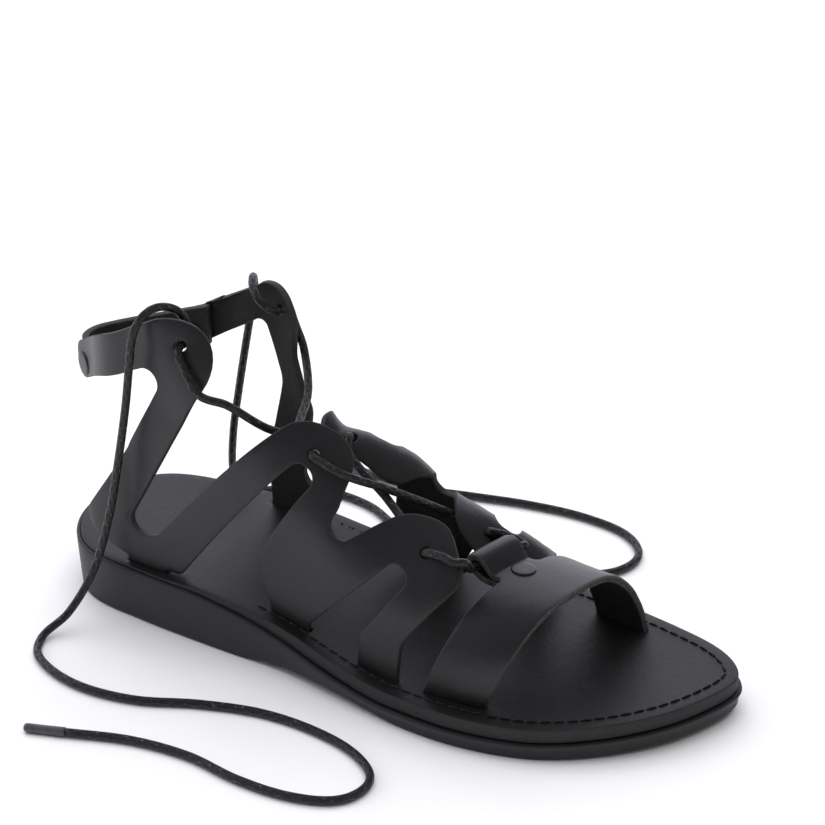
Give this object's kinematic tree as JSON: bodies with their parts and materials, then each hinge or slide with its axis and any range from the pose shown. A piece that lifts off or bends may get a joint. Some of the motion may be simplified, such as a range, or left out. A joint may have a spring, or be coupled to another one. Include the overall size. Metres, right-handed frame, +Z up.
{
  "type": "lace-up gladiator sandal",
  "caption": "Flat lace-up leather sandal for the right foot: scalloped side straps, a band over the toes, a strap round the heel and a long round lace on a rubber sole.",
  "frame": {"origin": "on the floor under the middle of the heel, 36 mm in from the back of the sole", "axes": "+X from heel to toe, +Y to the big-toe (medial) side, +Z up"},
  "size_m": [0.2576, 0.2201, 0.128],
  "materials": {
    "rubber": "satin moulded black rubber",
    "footbed": "smooth matte black leather over board",
    "strap_leather": "smooth semi-matte black leather with raw dyed edges",
    "rivet": "black painted cap rivet",
    "lace": "round waxed cotton cord, black",
    "aglet": "dark grey film tube"
  },
  "bodies": {
    "root": {"outsole": "rubber", "insole": "footbed", "lateral_strap": "strap_leather", "medial_strap": "strap_leather", "heel_strap": "strap_leather", "toe_strap": "strap_leather", "toe_rivet": "rivet", "lateral_rivet": "rivet", "medial_rivet": "rivet", "lace_cross_low": "lace", "lace_cross_high": "lace", "lace_toe_bar": "lace", "lace_end_lateral": "lace", "lace_end_medial": "lace", "aglet_lateral": "aglet", "aglet_medial": "aglet"}
  },
  "joints": []
}
